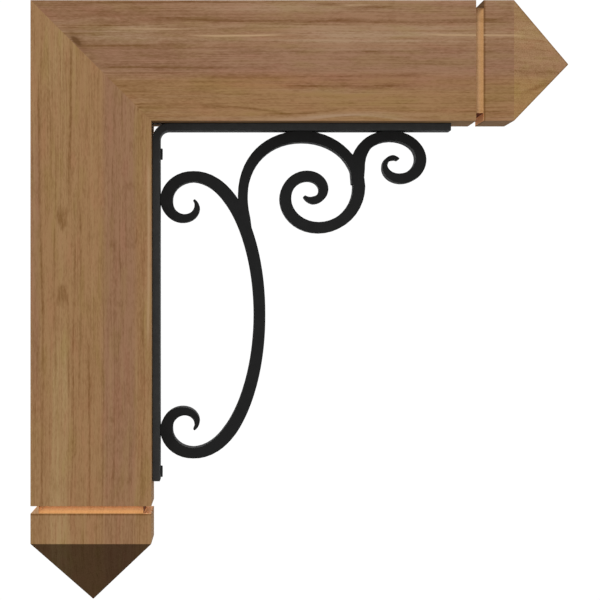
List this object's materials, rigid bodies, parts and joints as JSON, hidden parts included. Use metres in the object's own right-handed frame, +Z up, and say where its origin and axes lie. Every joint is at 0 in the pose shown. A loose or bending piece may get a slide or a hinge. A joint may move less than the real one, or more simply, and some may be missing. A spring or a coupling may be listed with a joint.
{
  "type": "timber corbel bracket with an iron scroll",
  "caption": "Mitred timber post-and-beam wall bracket with grooved collars, pyramid points and an iron strap and scroll in the corner.",
  "frame": {"origin": "middle of the post's flat wall face, half way between the bracket's top and the post's groove, on the plane of symmetry", "axes": "+X out from the wall along the beam, +Y along the wall, +Z up along the post"},
  "size_m": [0.4572, 0.1016, 0.508],
  "materials": {
    "timber": "planed softwood with a thin brown stain, matt",
    "iron": "matt black",
    "fasteners": "matt black, slightly worn"
  },
  "bodies": {
    "root": {"timber_post": "timber", "timber_beam": "timber", "iron_strap": "iron", "iron_scroll": "iron", "screw_upper": "fasteners", "screw_lower": "fasteners"}
  },
  "joints": []
}
